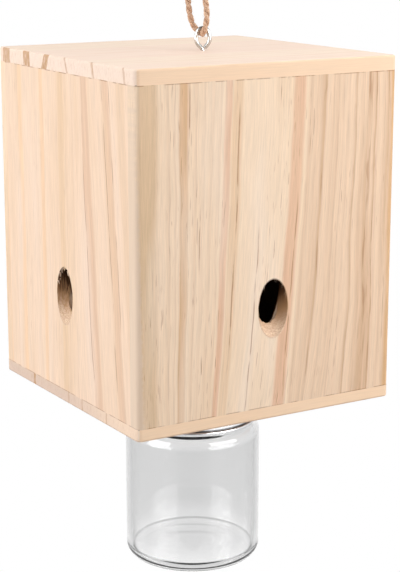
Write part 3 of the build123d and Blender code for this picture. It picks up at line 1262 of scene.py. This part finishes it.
class RouteLine:
    """Smooth cord line through listed points, with a side and a top at every distance."""

    ORDER = 3
    RESOLUTION = 24

    def __init__(self, route: Sequence[Vector]) -> None:
        """Reads the points of the route's smooth spline and carries a side vector along them."""
        self.points = self._spline_points(route)
        self.distances = [0.0]
        for first, second in zip(self.points, self.points[1:]):
            self.distances.append(self.distances[-1] + (second - first).length)
        self.tangents = []
        for before, after in zip(self.points[:1] + self.points, self.points[1:] + self.points[-1:]):
            self.tangents.append((after - before).normalized())
        side = self.tangents[0].orthogonal().normalized()
        self.sides = []
        for tangent in self.tangents:
            side = (side - tangent * side.dot(tangent)).normalized()
            self.sides.append(side)

    def _spline_points(self, route: Sequence[Vector]) -> list[Vector]:
        """Points along a NURBS spline that has the route as its control points."""
        curve = bpy.data.curves.new("route", "CURVE")
        curve.dimensions = "3D"
        spline = curve.splines.new("NURBS")
        spline.points.add(len(route) - 1)
        for point, place in zip(spline.points, route):
            point.co = (*place, 1.0)
        spline.order_u = self.ORDER
        spline.use_endpoint_u = True
        spline.resolution_u = self.RESOLUTION
        holder = bpy.data.objects.new("route", curve)
        mesh = bpy.data.meshes.new_from_object(holder)
        points = [vert.co.copy() for vert in mesh.vertices]
        bpy.data.objects.remove(holder)
        bpy.data.curves.remove(curve)
        bpy.data.meshes.remove(mesh)
        return points

    @property
    def length(self) -> float:
        """Length along the line."""
        return self.distances[-1]

    def at(self, distance: float) -> tuple[Vector, Vector, Vector, Vector]:
        """Place, side, top and direction at a distance along the line."""
        last = len(self.points) - 2
        count = min(next((k for k, d in enumerate(self.distances[1:]) if d >= distance), last), last)
        span = self.distances[count + 1] - self.distances[count]
        share = (distance - self.distances[count]) / span if span else 0.0
        place = self.points[count].lerp(self.points[count + 1], share)
        along = self.tangents[count].lerp(self.tangents[count + 1], share).normalized()
        side = self.sides[count].lerp(self.sides[count + 1], share)
        side = (side - along * side.dot(along)).normalized()
        return place, side, along.cross(side), along


@dataclass
class TwineLoop:
    """Two-ply jute twine from a knot, through the screw eye's ring and back, in millimetres."""

    diameter: float = 2.9
    lay: float = 9.0
    ply_offset: float = 0.68
    ply_radial: float = 0.77
    ply_wide: float = 1.06
    ply_sides: int = 14
    step: float = 0.25
    swell: float = 0.1
    seed: int = 11
    loop_hairs: int = 150
    knot_hairs: int = 70
    tail_hairs: int = 46
    tail_fray: float = 0.82
    hair_lengths: Pair = (0.7, 1.9)
    hair_radii: Pair = (0.035, 0.008)
    turn: float = EYE_TURN
    box_top: float = ROOF_HIGH.z
    route: tuple[Triple, ...] = (
        (-1.45, 0.7, 36.2), (-2.2, 0.9, 31.3), (-2.1, 1.3, 25.2), (-1.4, 2.1, 18.8), (-0.5, 3.1, 14.2),
        (1.1, 4.2, 10.5), (4.7, 3.5, 7.6), (5.15, -2.7, 8.0), (6.4, -2.85, 11.2), (7.2, -2.4, 15.4),
        (6.95, -1.9, 20.0), (6.2, -1.4, 25.4), (4.2, -1.0, 31.2), (1.45, -0.7, 35.8),
    )
    wrap: tuple[Triple, ...] = (
        (-1.45, 0.7, 36.2), (-1.3, 1.2, 37.6), (0.4, 2.9, 38.9), (2.9, 1.5, 38.7), (2.6, -1.8, 38.3),
        (-0.4, -3.0, 38.6), (-2.9, -1.3, 39.7), (-2.4, 1.6, 41.0), (0.2, 2.2, 41.9), (1.6, 0.9, 43.2),
        (1.8, 0.7, 45.0), (3.4, 1.6, 48.0),
    )
    core: tuple[Triple, ...] = (
        (1.45, -0.7, 35.8), (1.1, -0.6, 37.6), (0.3, -0.2, 39.6), (-0.7, -0.3, 41.6), (-1.5, -0.5, 43.4),
        (-2.0, -0.8, 45.2), (-3.4, -1.6, 48.0),
    )

    def line(self, route: Sequence[Triple]) -> RouteLine:
        """Smooth line of a route, in the part's frame."""
        frame_turn = Matrix.Rotation(math.radians(self.turn), 3, "Z")
        lift = Vector((0, 0, self.box_top))
        return RouteLine([frame_turn @ (Vector(point) + lift) * MM for point in route])

    def plies(self, line: RouteLine, phase: float, into: Optional[Mesh] = None) -> Mesh:
        """Two plies laid round each other along a line.

        Args:
            line: line that the twine follows.
            phase: turn at which the first ply starts.
            into: mesh that gets the plies, if there is one already.

        Returns:
            The mesh with the plies.
        """
        rows = round(line.length / (self.step * MM))
        for ply in range(2):
            def angle(distance: float) -> float:
                return TURN * (phase + ply / 2 - distance / (self.lay * MM))

            def place(along: float, turn: float) -> Vector:
                distance = along * line.length
                middle, side, top, _ = line.at(distance)
                outward = around(side, top, angle(distance))
                sideways = around(top, -side, angle(distance))
                swell = 1 + self.swell * noise.noise((distance * 420, ply * 5.0, phase * 9))
                radial = self.ply_radial * math.cos(TURN * turn) * swell
                wide = self.ply_wide * math.sin(TURN * turn) * swell
                return middle + (outward * (self.ply_offset + radial) + sideways * wide) * MM

            def tag(along: float, turn: float) -> Vector:
                twist = TURN * (turn + along * line.length / (self.lay * 0.8 * MM))
                return Vector((math.cos(twist), math.sin(twist), along * line.length / MM + 50 * ply))

            into = rolled_grid(rows, self.ply_sides, place, tag, into)
        return into

    def hairs(
        self, line: RouteLine, count: int, chance: random.Random, span: Pair, fray: float = 0.0,
    ) -> Mesh:
        """Loose fibres that stand out of the twine.

        Args:
            line: line of the twine.
            count: number of fibres.
            chance: seeded random numbers.
            span: first and last share of the line that has them.
            fray: how far they lie along the line, from 0, standing out, to 1.

        Returns:
            A mesh of thin spikes.
        """
        bm = bmesh.new()
        radii = (self.hair_radii[0] * MM, self.hair_radii[1] * MM)
        for _ in range(count):
            middle, side, top, along = line.at(chance.uniform(*span) * line.length)
            outward = around(side, top, chance.uniform(0, TURN))
            lean = fray + chance.uniform(0, 0.8) * chance.choice((-1, 1)) * (1 - fray)
            direction = (outward * (1.15 - fray) + along * lean).normalized()
            length = chance.uniform(*self.hair_lengths) * MM * (1 + fray)
            root = middle + outward * self.diameter * MM * (0.36 - 0.22 * fray)
            add_spike(bm, root, root + direction * length, radii, 3)
        return bm

    def build(self) -> None:
        """Makes the loop, its knot with two cut tails, and the loose fibres on them."""
        jute = Jute().build()
        chance = random.Random(self.seed)
        line = self.line(self.route)
        loop = place_piece("twine", self.plies(line, 0.1), "hanger", jute, "jute", ["hanging_twine"], 80)
        strays = self.hairs(line, self.loop_hairs, chance, (0.03, 0.97))
        fuzz = place_piece("twine_fuzz", strays, "hanger", jute, "jute")
        wrap, core = self.line(self.wrap), self.line(self.core)
        bm = self.plies(core, 0.3, self.plies(wrap, 0.55))
        knot = place_piece("knot", bm, "hanger", jute, "jute", ["twine_knot"], 80)
        strays = self.hairs(wrap, self.knot_hairs, chance, (0.1, 0.95))
        pieces = [fuzz, knot, place_piece("knot_fuzz", strays, "hanger", jute, "jute")]
        for name, tail in (("wrap_fray", wrap), ("core_fray", core)):
            ends = self.hairs(tail, self.tail_hairs, chance, (0.965, 1.0), self.tail_fray)
            pieces.append(place_piece(name, ends, "hanger", jute, "jute"))
        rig.cord(
            loop, exit=line.points[0], length=line.length, diameter=self.diameter * MM, far_end="knot",
            stiffness="limp", lay="hanging", path=line.points, with_pieces=pieces,
        )


@dataclass(frozen=True)
class Wall:
    """One wall of the box: its node, its finish and the way that it faces."""

    side: str
    finish: WallPine
    outward: Triple
    seed: int
    rough: float
    has_brads: bool = False


@dataclass
class PineBox:
    """Six pine boards, with torn fibres round the entry holes, and the brads in their joints."""

    face: float = FRONT_HIGH.x
    thickness: float = FRONT_HIGH.y - FRONT_LOW.y
    roof: StavePine = StavePine(
        "pine_top", 2.0, ROOF_LOW.z, ROOF_HIGH.z, Tone.BLUSH, Tone.BLUSH,
        (
            EndBar(61.0, 8.0, 0.0, 0.8), EndBar(38.0, 7.0, 0.1, 0.9), EndBar(17.5, 5.5, -0.45, 0.9),
            EndBar(-4.0, 1.6, 0.4, 0.6), EndBar(-30.5, 2.0, 0.25, 0.6), EndBar(-59.8, 1.6, 0.2, 0.5),
        ),
    )
    base: StavePine = StavePine(
        "pine_bottom", 5.0, BASE_LOW.z, BASE_HIGH.z, Tone.DUSK, Tone.PEACH,
        (
            EndBar(37.0, 2.2, 0.0, 1.0), EndBar(-0.8, 1.0, 0.0, 0.6), EndBar(-15.0, 1.2, 0.0, 0.6),
            EndBar(-39.5, 1.0, 0.0, 0.7),
        ),
        painted_edge_shadow=0.5,
    )
    crisp: float = 1.2
    base_crisp: float = 1.4
    soft: float = 2.6
    base_soft: float = 2.4
    slack: float = 0.01
    tear: float = 1.0
    tear_depth: float = 1.7
    break_start: float = 4.0
    break_slope: float = 2.0
    rim_grid: tuple[int, int] = (5, 110)
    exit_grid: tuple[int, int] = (7, 90)
    slivers: int = 26
    sliver_angles: tuple[int, ...] = (90, 90, 35, 145)
    sliver_spread: float = 22
    sliver_lengths: Pair = (0.9, 2.4)
    sliver_radii: Pair = (0.06, 0.16)
    sliver_point: float = 0.2
    front_hole: EntryHole = EntryHole(1.7)
    side_hole: EntryHole = EntryHole(-1.3)

    def walls(self) -> list[Wall]:
        """The four walls, front first, then round to the left."""
        front = WallPine(
            "pine_front", 3.7, Axis.X, 1, Axis.Y, Tone.CREAM, Tone.PALE, 0.55,
            (
                Streak(-63.8, 11.0, Tone.TAN), Streak(-46.6, 4.6, Tone.RESIN),
                Streak(-25.6, 4.4, Tone.ROSE), Streak(-20.9, 6.4, Tone.STRAW), Streak(11.4, 8.0, Tone.ROSE),
                Streak(66.6, 6.5, Tone.RESIN),
            ),
            (RingZone(17, 66, 4.6, 0.9), RingZone(17, 66, 9.7, 0.7), RingZone(-61, -28, 3.6, 0.25)),
            (
                Hairline(-44.0, 0.6, -44, -78), Hairline(-38.5, 0.5, -100, -125),
                Hairline(-19.8, 0.7, -56, -172), Hairline(-6.8, 0.6, -112, -195),
                Hairline(1.0, 0.5, -44, -52), Hairline(13.2, 0.5, -100, -195),
            ),
            self.front_hole, lean=0.004, bulge=0.07, bend=0.0003, worn=3.0,
        )
        left = WallPine(
            "pine_left", 8.2, Axis.Y, -1, Axis.X, Tone.PEACH, Tone.BLUSH, 0.2,
            (
                Streak(-65.5, 7.0, Tone.APRICOT), Streak(-46.0, 5.0, Tone.APRICOT),
                Streak(-22.5, 4.5, Tone.APRICOT), Streak(-2.0, 7.0, Tone.STRAW),
                Streak(26.0, 9.5, Tone.BISQUE), Streak(48.5, 6.5, Tone.BISQUE), Streak(62.0, 9.0, Tone.OAT),
            ),
            (RingZone(-66, 62, 6.5, 0.14),),
            (
                Hairline(22.5, 0.5, -60, -190), Hairline(45.4, 0.5, -44, -190),
                Hairline(51.6, 0.5, -44, -150),
            ),
            self.side_hole, lean=-0.01, splay=-0.08, fuzz=2.4,
        )
        back = WallPine(
            "pine_back", 15.1, Axis.X, -1, Axis.Y, Tone.CREAM, Tone.PALE, 0.4,
            (
                Streak(-52.0, 6.5, Tone.HONEY), Streak(-18.5, 5.0, Tone.ROSE),
                Streak(-8.0, 3.0, Tone.STRAW), Streak(31.0, 7.5, Tone.HONEY), Streak(58.0, 6.0, Tone.STRAW),
            ),
            (RingZone(-64, -20, 5.2, 0.6), RingZone(26, 66, 6.2, 0.55)),
            (Hairline(-14.0, 0.6, -60, -150), Hairline(22.5, 0.6, -44, -110)),
            self.front_hole, lean=-0.035,
        )
        right = WallPine(
            "pine_right", 21.4, Axis.Y, 1, Axis.X, Tone.PEACH, Tone.PALE, 0.3,
            (
                Streak(-40.0, 6.0, Tone.STRAW), Streak(-12.0, 4.0, Tone.STRAW),
                Streak(15.0, 5.5, Tone.HONEY), Streak(52.0, 7.0, Tone.ROSE),
            ),
            (RingZone(-30, 60, 5.6, 0.5),),
            (Hairline(-25.0, 0.6, -44, -130), Hairline(34.0, 0.6, -90, -190)),
            self.side_hole, lean=0.025,
        )
        return [
            Wall("front", front, (0, -1, 0), 4, 0.5, has_brads=True),
            Wall("left", left, (-1, 0, 0), 9, 3.6),
            Wall("back", back, (0, 1, 0), 15, 1.5, has_brads=True),
            Wall("right", right, (1, 0, 0), 22, 2.6),
        ]

    def build(self) -> None:
        """Dresses the boards and brads, and tears the rims of the entry holes."""
        for wall in self.walls():
            pine = wall.finish.build()
            node = wall.side + "_board"
            board = carve(carve(node_copy(node), self.torn_rim(wall)), self.broken_exit(wall))
            self.put_board(wall.side + "_wall", node, board, pine, self.crisp, self.soft)
            fresh = replace(wall.finish, name=wall.finish.name + "_torn", drilled=False).build()
            place_piece(wall.side + "_splinters", self.splinters(wall), "box", fresh, "pine")
            if wall.has_brads:
                dress_node(wall.side + "_brads", pine)
        for side, finish, crisp, soft in (
            ("top", self.roof, self.crisp, self.soft),
            ("bottom", self.base, self.base_crisp, self.base_soft),
        ):
            pine = finish.build()
            node = side + "_board"
            self.put_board(side + "_panel", node, node_copy(node), pine, crisp, soft)
            dress_node(side + "_brads", pine)

    def put_board(
        self, name: str, node: str, board: Mesh, pine: Material, crisp: float, soft: float,
    ) -> None:
        """Puts a board in place of its node, with a wider rounding of its upright corners.

        Args:
            name: name of the piece.
            node: node that it replaces.
            board: mesh of the board, in the part's frame; it is freed.
            pine: finish of the board.
            crisp: radius that the corners have, in millimetres.
            soft: radius that they get.
        """
        for vert in board.verts:
            reach = Vector([abs(part) / MM - self.face + crisp for part in vert.co.xy])
            if min(reach) < -self.slack or reach.length < self.slack:
                continue
            for axis, share in enumerate(reach.normalized()):
                place = self.face - soft + share * (reach.length + soft - crisp)
                vert.co[axis] = math.copysign(place * MM, vert.co[axis])
        made = place_piece(name, board, "box", pine, "pine", [node], BOARD_CREASE)
        made.modifiers.new("even", "WEIGHTED_NORMAL").keep_sharp = True

    def on_wall(self, wall: Wall, across: float, height: float, depth: float) -> Vector:
        """Point of a wall from its place across and above the hole's mouth and its depth, in millimetres."""
        hole = wall.finish.hole
        outward = Vector(wall.outward)
        sideways = Vector((0, 0, 1)).cross(outward)
        middle = outward * (self.face - depth) + sideways * (hole.offset + across)
        return (middle + Vector((0, 0, hole.mouth + height))) * MM

    def torn_rim(self, wall: Wall) -> Mesh:
        """Ragged plug in the mouth of an entry hole, wider than the hole only near the face."""
        hole = wall.finish.hole

        def place(along: float, turn: float) -> Vector:
            depth = -0.6 + along * (self.tear_depth + 0.6)
            angle = TURN * turn
            rag = rag_at(4, angle, wall.seed * 3.1) + 0.9 * rag_at(15, angle, wall.seed * 5.7 + along)
            fade = max(0.0, 1 - max(depth, 0.0) / self.tear_depth)
            grow = self.tear * (0.15 + 0.75 * max(rag, 0.0)) * fade - 0.5 * (1 - fade)
            across = math.cos(angle) * (hole.radius + 0.55 * grow)
            height = math.sin(angle) * (hole.half_height + 1.25 * grow)
            return self.on_wall(wall, across, height + max(depth, 0.0) * hole.slope, depth)

        return rolled_grid(*self.rim_grid, place)

    def broken_exit(self, wall: Wall) -> Mesh:
        """Ragged plug at the inner end of an entry hole, where the thin lower lip broke away."""
        hole = wall.finish.hole
        start = self.break_start - 1.0

        def place(along: float, turn: float) -> Vector:
            depth = start + along * (self.thickness + 0.8 - start)
            angle = TURN * turn
            low = max(0.0, -math.sin(angle)) ** 0.8
            rag = rag_at(7, angle, wall.seed * 2.3 + along)
            grow = max(0.0, depth - self.break_start + 0.5 * rag) * self.break_slope * low - 0.4
            across = math.cos(angle) * (hole.radius - 0.3)
            height = math.sin(angle) * (hole.half_height + grow) + depth * hole.slope
            return self.on_wall(wall, across, height, depth)

        return rolled_grid(*self.exit_grid, place)

    def splinters(self, wall: Wall) -> Mesh:
        """Loose slivers of wood that hang into the mouth along the grain."""
        chance = random.Random(wall.seed)
        hole = wall.finish.hole
        bm = bmesh.new()
        for _ in range(self.slivers):
            angle = math.radians(chance.choice(self.sliver_angles) + chance.gauss(0, self.sliver_spread))
            depth = chance.uniform(0.1, 1.4)
            across = math.cos(angle) * (hole.radius - 0.1)
            height = math.sin(angle) * hole.half_height + depth * hole.slope
            length = chance.uniform(*self.sliver_lengths)
            root = self.on_wall(wall, across, height + 0.3, depth)
            across += chance.gauss(0, 0.25)
            tip = self.on_wall(wall, across, height - length, depth + chance.uniform(-0.2, 0.5))
            thick = chance.uniform(*self.sliver_radii) * wall.rough * MM
            add_spike(bm, root, tip, (thick, thick * self.sliver_point), 4)
        return bm


@dataclass
class ScrewEye:
    """Plated screw eye of one bent wire: pointed shank, ring and cut end, with a wood thread.

    Lengths are in millimetres. The bends are control points of the wire's middle line, from the
    point up round the ring to the cut end: to the right along the ring, and above the box.
    """

    wire: float = 2.0
    point_length: float = 2.5
    point_share: float = 0.15
    bends: tuple[Pair, ...] = (
        (0, -9), (0, -6.5), (0, -1.6), (0, 0.6), (-2.6, 3.0), (-3.4, 5.2), (-2.9, 8.2), (-1.8, 10.6),
        (1.8, 10.6), (2.9, 8.2), (3.4, 5.2), (2.6, 3.0), (0.8, 1.25),
    )
    offset: float = 5.2
    turn: float = EYE_TURN
    box_top: float = ROOF_HIGH.z
    thread_start: float = -1.2
    thread_pitch: float = 0.9
    thread_turns: int = 6
    thread_depth: float = 0.28
    thread_root: float = 0.9
    thread_foot: float = 0.3
    thread_steps: int = 20
    wire_grid: tuple[int, int] = (220, 20)

    def build(self) -> None:
        """Bends the wire and cuts the thread."""
        plated = Metal("plated_wire", paint(206, 204, 200), 0.14, Worked.DRAWN).build()
        place_piece("eye_wire", self.bent_wire(), "box", plated, "plated_wire", ["screw_eye"], 50)
        place_piece("eye_thread", self.thread(), "box", plated, "plated_wire")

    def place(self) -> Matrix:
        """Turn and place of the eye on the box."""
        turn = Matrix.Rotation(math.radians(self.turn), 4, "Z")
        return turn @ Matrix.Translation((self.offset * MM, 0, self.box_top * MM))

    def bent_wire(self) -> Mesh:
        """Round wire along the bends, drawn to a point at its foot."""
        place = self.place()
        line = RouteLine([place @ Vector((across * MM, 0, height * MM)) for across, height in self.bends])

        def skin(along: float, turn: float) -> Vector:
            distance = along * line.length
            middle, side, top, _ = line.at(distance)
            share = self.point_share + (1 - self.point_share) * distance / (self.point_length * MM)
            return middle + around(side, top, TURN * turn) * (min(share, 1.0) * self.wire / 2 * MM)

        return rolled_grid(*self.wire_grid, skin)

    def thread(self) -> Mesh:
        """Sharp ridge wound round the shank."""
        bm = bmesh.new()
        inner = self.wire / 2 * self.thread_root
        outer = self.wire / 2 + self.thread_depth
        half = self.thread_pitch * self.thread_foot
        height = self.thread_start - self.thread_pitch * self.thread_turns
        corners = ((inner, -half), (outer, 0), (inner, half))
        bm.faces.new([bm.verts.new((radius * MM, 0, (height + lift) * MM)) for radius, lift in corners])
        turns = self.thread_turns
        spun(bm, self.thread_steps * turns, turns, self.thread_pitch * turns * MM)
        bmesh.ops.transform(bm, matrix=self.place(), verts=bm.verts)
        return bm


@dataclass
class LidSet:
    """Deep pressed lid with a rolled thread, the screws that hold it, and the seal ring in it."""

    bore: float = 30.9
    sheet: float = 0.6
    shoulder: float = 1.6
    curl: float = 1.5
    curl_share: float = 0.48
    edge_round: float = 0.25
    crease_round: float = 0.15
    throat: float = 16.0
    thread: ScrewThread = ScrewThread(JAR_HIGH.z - 12.6, 6.0, 1.35, 0.5, 1.25)
    screw_circle: float = 20.65
    screw_length: float = 5.0
    screw_shank: float = 1.45
    screw_head: float = 2.7
    head_height: float = 1.9
    tip_round: float = 0.7
    head_round: float = 1.2
    slack: float = 0.05
    screw_count: int = 4
    recess: Triple = (2.9, 0.75, 2.0)
    recess_turns: Pair = (20, 110)
    steps: int = 180
    screw_steps: int = 32
    cuts: int = 48

    def build(self) -> None:
        """Makes the lid and the screws, and dresses the seal."""
        tin = Tinplate("tinplate", paint(232, 232, 233), 0.16, Worked.TURNED).build()
        zinc = Metal("screw_zinc", paint(205, 205, 203), 0.28, Worked.DRAWN).build()
        rubber = Matt("seal_rubber", paint(232, 231, 226), paint(214, 213, 208), 0.55, 0.8).build()
        place_piece("screw_lid", self.lid(), "box", tin, "lid_metal", ["jar_lid"], 35)
        place_piece("pan_screws", self.screws(), "box", zinc, "screw_steel", ["lid_screws"], 35)
        dress_node("jar_seal", rubber)

    def lid(self) -> Mesh:
        """Pressed sheet turned round the Z axis, with the thread rolled into its skirt."""
        edge, roof, rim = LID_LOW.z, LID_HIGH.z, LID_HIGH.x
        skirt = self.bore + self.sheet
        bm = profile_loop([
            (self.throat, roof, self.edge_round),
            (skirt, roof, self.shoulder),
            (skirt, edge + self.curl, self.crease_round),
            (rim, edge + self.curl, self.curl * self.curl_share),
            (rim, edge, self.curl * self.curl_share),
            (self.bore, edge, self.edge_round),
            (self.bore, roof - self.sheet, self.shoulder - self.sheet),
            (self.throat, roof - self.sheet, self.edge_round),
        ], closed=True)
        cut_uprights(bm, (skirt, self.bore), self.cuts)
        spun(bm, self.steps)

        def on_skirt(radius: float, height: float) -> bool:
            return radius > self.bore - self.slack and edge + self.curl < height < roof - self.shoulder

        self.thread.press(bm, -1, on_skirt)
        return bm

    def screws(self) -> Mesh:
        """Four pan-head screws with crossed recesses, heads down under the lid's roof."""
        roof = LID_HIGH.z - self.sheet
        group = bmesh.new()
        for count in range(self.screw_count):
            bm = profile_loop([
                (0, self.screw_length, 0),
                (self.screw_shank, self.screw_length, self.tip_round),
                (self.screw_shank, 0, 0),
                (self.screw_head, 0, self.crease_round),
                (self.screw_head, -self.head_height, self.head_round),
                (0, -self.head_height, 0),
            ], closed=False)
            spun(bm, self.screw_steps)
            for angle in self.recess_turns:
                lie = Matrix.Translation((0, 0, -self.head_height * MM))
                lie = lie @ Matrix.Rotation(math.radians(angle), 4, "Z")
                lie = lie @ Matrix.Diagonal((*[size * MM for size in self.recess], 1.0))
                bar = bmesh.new()
                bmesh.ops.create_cube(bar, size=1.0, matrix=lie)
                bm = carve(bm, bar)
            spin = Matrix.Rotation(TURN * count / self.screw_count, 4, "Z")
            place = spin @ Matrix.Translation((self.screw_circle * MM, 0, roof * MM))
            bmesh.ops.transform(bm, matrix=place, verts=bm.verts)
            add_to(group, bm)
        return group


@dataclass
class GlassJar:
    """Straight glass jar with a threaded neck, a square shoulder and a pushed-up base."""

    neck: float = 30.0
    mouth: float = 27.0
    wall: float = 2.6
    floor: float = 5.7
    heel: float = 6.5
    inner_heel: float = 1.2
    shoulder_drop: float = 16.9
    shoulder_radius: float = 5.0
    neck_flare: float = 0.8
    inner_shoulder: float = 4.6
    punt: float = 0.4
    punt_slope: float = 14.0
    punt_round: float = 5.0
    stand_round: float = 2.0
    neck_foot: float = 0.8
    slack: float = 0.01
    stand: float = 3.0
    lip: float = 0.9
    thread: ScrewThread = ScrewThread(JAR_HIGH.z - 9.6, 6.0, 1.3, 0.55, 0.95)
    steps: int = 220
    cuts: int = 44

    def build(self) -> None:
        """Makes the jar, which lets the light through to the lid."""
        made = place_piece("glass_jar", self.jar(), "jar", Glass().build(), "jar_glass", ["jar"], 50)
        made.visible_shadow = False

    def jar(self) -> Mesh:
        """Section of the glass turned round the Z axis, with a thread bead on its neck."""
        base, rim, outer = JAR_LOW.z, JAR_HIGH.z, JAR_HIGH.x
        shoulder = rim - self.shoulder_drop
        inner = outer - self.wall
        stand = outer - self.heel - self.stand
        bm = profile_loop([
            (0, base + self.punt, 0),
            (stand - self.punt_slope, base + self.punt, self.punt_round),
            (stand, base, self.stand_round),
            (outer, base, self.heel),
            (outer, shoulder, self.shoulder_radius),
            (self.neck, shoulder, self.neck_foot),
            (self.neck, rim, self.lip),
            (self.mouth, rim, self.lip),
            (self.mouth, shoulder - self.wall, self.neck_flare),
            (inner, shoulder - self.wall, self.inner_shoulder),
            (inner, base + self.floor, self.inner_heel),
            (0, base + self.floor, 0),
        ], closed=False)
        cut_uprights(bm, (self.neck,), self.cuts)
        spun(bm, self.steps)
        self.thread.press(bm, 1, lambda radius, _: abs(radius - self.neck) < self.slack)
        return bm


def write_sizes() -> None:
    """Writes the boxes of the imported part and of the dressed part."""
    low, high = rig.bounds()
    boxes = {"cad": [list(CAD_LOW), list(CAD_HIGH)], "visual": [list(low), list(high)]}
    with open("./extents.json", "w") as sizes:
        json.dump(boxes, sizes)


def main() -> None:
    """Builds the studio and every sub-assembly."""
    logging.basicConfig(level=logging.INFO, format="%(name)s: %(message)s")
    for assembly in (Studio(), TwineLoop(), PineBox(), ScrewEye(), LidSet(), GlassJar()):
        LOG.info("building %s", type(assembly).__name__)
        assembly.build()
    write_sizes()


if __name__ == "__main__":
    main()
